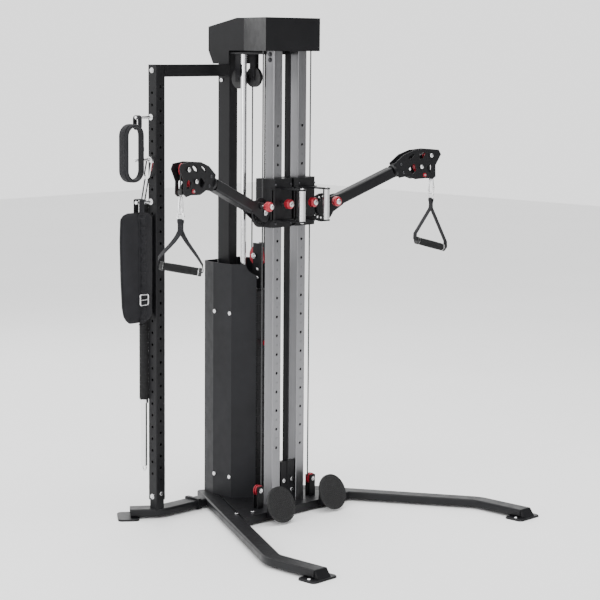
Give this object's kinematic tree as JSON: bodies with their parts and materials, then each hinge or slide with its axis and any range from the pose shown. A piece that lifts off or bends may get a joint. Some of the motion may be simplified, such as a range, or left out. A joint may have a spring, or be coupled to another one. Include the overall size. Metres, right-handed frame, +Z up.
{
  "type": "functional trainer",
  "caption": "Free-standing cable machine with height-adjustable swing-out arms on two punched columns, a shrouded weight stack and an accessory post.",
  "frame": {"origin": "on the floor, in the middle of the footprint; X = 0 is the mid-plane between the columns", "axes": "+Z up, +X to the machine's right as seen by the user facing it, -Y towards the user"},
  "size_m": [1.7029, 1.3194, 2.14],
  "materials": {
    "powder_black": "fine-texture satin powder coat",
    "brushed_steel": "lengthwise brushed, bright",
    "rubber_black": "moulded dots, matt",
    "sheet_black": "satin powder coat on sheet",
    "chrome": "polished",
    "zinc": "bright zinc",
    "iron_black": "painted, matt",
    "cable_black": "nylon-jacketed wire rope",
    "pulley_red": "anodised look, semi-gloss",
    "pulley_black": "moulded nylon",
    "knob_red": "anodised look, semi-gloss",
    "aluminium": "satin",
    "webbing": "woven webbing and padded cloth",
    "grip_rubber": "soft moulded, matt"
  },
  "bodies": {
    "frame": {"accessory_pegs": "chrome", "accessory_post": "powder_black", "ankle_cuff": "webbing", "base_frame": "powder_black", "centre_plate": "powder_black", "columns": "brushed_steel", "fasteners": "zinc", "foot_pads": "powder_black", "foot_treads": "rubber_black", "guide_rods": "chrome", "head_frame": "powder_black", "head_housing": "powder_black", "hip_belt": "webbing", "left_leg": "powder_black", "left_shroud": "sheet_black", "lift_cable": "cable_black", "long_bar": "chrome", "long_bar_grip": "grip_rubber", "pulley_brackets": "powder_black", "rear_leg": "powder_black", "rear_upright": "powder_black", "rest_plates": "iron_black", "right_leg": "powder_black", "right_shroud": "sheet_black", "side_beam": "powder_black", "side_cables": "cable_black", "stack_cushions": "rubber_black"},
    "left_carriage": {"left_carriage": "powder_black", "left_pull_handle": "aluminium"},
    "left_height_pin": {"left_height_pin": "knob_red"},
    "left_arm": {"left_arm": "powder_black"},
    "left_angle_pin": {"left_angle_pin": "knob_red"},
    "left_carriage_pulley": {"left_carriage_pulley": "pulley_red"},
    "left_head": {"left_head": "powder_black"},
    "left_outer_pulley": {"left_outer_pulley": "pulley_red"},
    "left_inner_pulley": {"left_inner_pulley": "pulley_red"},
    "left_hook": {"left_hook": "chrome"},
    "left_handle": {"left_handle_strap": "webbing", "left_handle_grip": "grip_rubber"},
    "left_base_pulley": {"left_base_pulley": "pulley_red"},
    "right_carriage": {"right_carriage": "powder_black", "right_pull_handle": "aluminium"},
    "right_height_pin": {"right_height_pin": "knob_red"},
    "right_arm": {"right_arm": "powder_black"},
    "right_angle_pin": {"right_angle_pin": "knob_red"},
    "right_carriage_pulley": {"right_carriage_pulley": "pulley_red"},
    "right_head": {"right_head": "powder_black"},
    "right_outer_pulley": {"right_outer_pulley": "pulley_red"},
    "right_inner_pulley": {"right_inner_pulley": "pulley_red"},
    "right_hook": {"right_hook": "chrome"},
    "right_handle": {"right_handle_strap": "webbing", "right_handle_grip": "grip_rubber"},
    "right_base_pulley": {"right_base_pulley": "pulley_red"},
    "stack": {"lifted_plates": "iron_black", "selector_stem": "chrome", "floating_block": "powder_black"},
    "selector_pin": {"selector_pin": "knob_red"},
    "floating_pulley": {"floating_pulley": "pulley_red"},
    "top_pulley": {"top_pulley": "pulley_black"},
    "rear_pulley": {"rear_pulley": "pulley_black"}
  },
  "joints": [
    {"name": "left_carriage_slide", "type": "slide", "parent": "frame", "child": "left_carriage", "axis": [0, 0, 1], "range_m": [-0.979, 0.326]},
    {"name": "left_height_pin_pull", "type": "slide", "parent": "left_carriage", "child": "left_height_pin", "axis": [0, -1, 0], "range_m": [-0.012, 0]},
    {"name": "left_arm_tilt", "type": "hinge", "parent": "left_carriage", "child": "left_arm", "pos_m": [-0.19, 0.1625, 1.323], "axis": [-0.23, 0.9732, 0], "range_deg": [-45, 15]},
    {"name": "left_angle_pin_pull", "type": "slide", "parent": "left_arm", "child": "left_angle_pin", "axis": [0.23, -0.9732, 0], "range_m": [-0.012, 0]},
    {"name": "left_carriage_pulley_spin", "type": "hinge", "parent": "left_carriage", "child": "left_carriage_pulley", "pos_m": [-0.19736, 0.19364, 1.323], "axis": [-0.23, 0.9732, 0], "continuous": true},
    {"name": "left_head_swivel", "type": "hinge", "parent": "left_arm", "child": "left_head", "pos_m": [-0.55523, 0.07616, 1.46706], "axis": [-0.9085, -0.2148, 0.3584], "range_deg": [-60, 60]},
    {"name": "left_outer_pulley_spin", "type": "hinge", "parent": "left_head", "child": "left_outer_pulley", "pos_m": [-0.74973, 0.03019, 1.53521], "axis": [-0.23, 0.9732, 0], "continuous": true},
    {"name": "left_inner_pulley_spin", "type": "hinge", "parent": "left_head", "child": "left_inner_pulley", "pos_m": [-0.69736, 0.04256, 1.48564], "axis": [-0.23, 0.9732, 0], "continuous": true},
    {"name": "left_hook_hang", "type": "hinge", "parent": "left_head", "child": "left_hook", "pos_m": [-0.74973, 0.03019, 1.53521], "axis": [-0.23, 0.9732, 0], "range_deg": [-15, 45]},
    {"name": "left_handle_turn", "type": "hinge", "parent": "left_hook", "child": "left_handle", "pos_m": [-0.76919, 0.02559, 1.351], "axis": [0, 0, 1], "range_deg": [-90, 90]},
    {"name": "left_base_pulley_spin", "type": "hinge", "parent": "frame", "child": "left_base_pulley", "pos_m": [-0.163, 0.1925, 0.12], "axis": [0, -1, 0], "continuous": true},
    {"name": "right_carriage_slide", "type": "slide", "parent": "frame", "child": "right_carriage", "axis": [0, 0, 1], "range_m": [-0.979, 0.326]},
    {"name": "right_height_pin_pull", "type": "slide", "parent": "right_carriage", "child": "right_height_pin", "axis": [0, -1, 0], "range_m": [-0.012, 0]},
    {"name": "right_arm_tilt", "type": "hinge", "parent": "right_carriage", "child": "right_arm", "pos_m": [0.19, 0.1625, 1.323], "axis": [-0.23, -0.9732, 0], "range_deg": [-45, 15]},
    {"name": "right_angle_pin_pull", "type": "slide", "parent": "right_arm", "child": "right_angle_pin", "axis": [-0.23, -0.9732, 0], "range_m": [-0.012, 0]},
    {"name": "right_carriage_pulley_spin", "type": "hinge", "parent": "right_carriage", "child": "right_carriage_pulley", "pos_m": [0.19736, 0.19364, 1.323], "axis": [-0.23, -0.9732, 0], "continuous": true},
    {"name": "right_head_swivel", "type": "hinge", "parent": "right_arm", "child": "right_head", "pos_m": [0.55523, 0.07616, 1.46706], "axis": [0.9085, -0.2148, 0.3584], "range_deg": [-60, 60]},
    {"name": "right_outer_pulley_spin", "type": "hinge", "parent": "right_head", "child": "right_outer_pulley", "pos_m": [0.74973, 0.03019, 1.53521], "axis": [-0.23, -0.9732, 0], "continuous": true},
    {"name": "right_inner_pulley_spin", "type": "hinge", "parent": "right_head", "child": "right_inner_pulley", "pos_m": [0.69736, 0.04256, 1.48564], "axis": [-0.23, -0.9732, 0], "continuous": true},
    {"name": "right_hook_hang", "type": "hinge", "parent": "right_head", "child": "right_hook", "pos_m": [0.74973, 0.03019, 1.53521], "axis": [-0.23, -0.9732, 0], "range_deg": [-15, 45]},
    {"name": "right_handle_turn", "type": "hinge", "parent": "right_hook", "child": "right_handle", "pos_m": [0.76919, 0.02559, 1.351], "axis": [0, 0, 1], "range_deg": [-90, 90]},
    {"name": "right_base_pulley_spin", "type": "hinge", "parent": "frame", "child": "right_base_pulley", "pos_m": [0.163, 0.1925, 0.12], "axis": [0, -1, 0], "continuous": true},
    {"name": "stack_lift", "type": "slide", "parent": "frame", "child": "stack", "axis": [0, 0, 1], "range_m": [0, 0.6], "deforming": ["lift_cable"]},
    {"name": "selector_pin_pull", "type": "slide", "parent": "stack", "child": "selector_pin", "axis": [0, -1, 0], "range_m": [0, 0.06]},
    {"name": "floating_pulley_spin", "type": "hinge", "parent": "stack", "child": "floating_pulley", "pos_m": [0, 0.3635, 1.11], "axis": [1, 0, 0], "continuous": true},
    {"name": "top_pulley_spin", "type": "hinge", "parent": "frame", "child": "top_pulley", "pos_m": [-0.024, 0.3675, 1.886], "axis": [1, 0, 0], "continuous": true},
    {"name": "rear_pulley_spin", "type": "hinge", "parent": "frame", "child": "rear_pulley", "pos_m": [-0.045, 0.4345, 1.878], "axis": [1, 0, 0], "continuous": true}
  ],
  "couplings": [
    {"joint": "left_hook_hang", "follows": "left_arm_tilt", "ratio": -1},
    {"joint": "right_hook_hang", "follows": "right_arm_tilt", "ratio": -1}
  ]
}
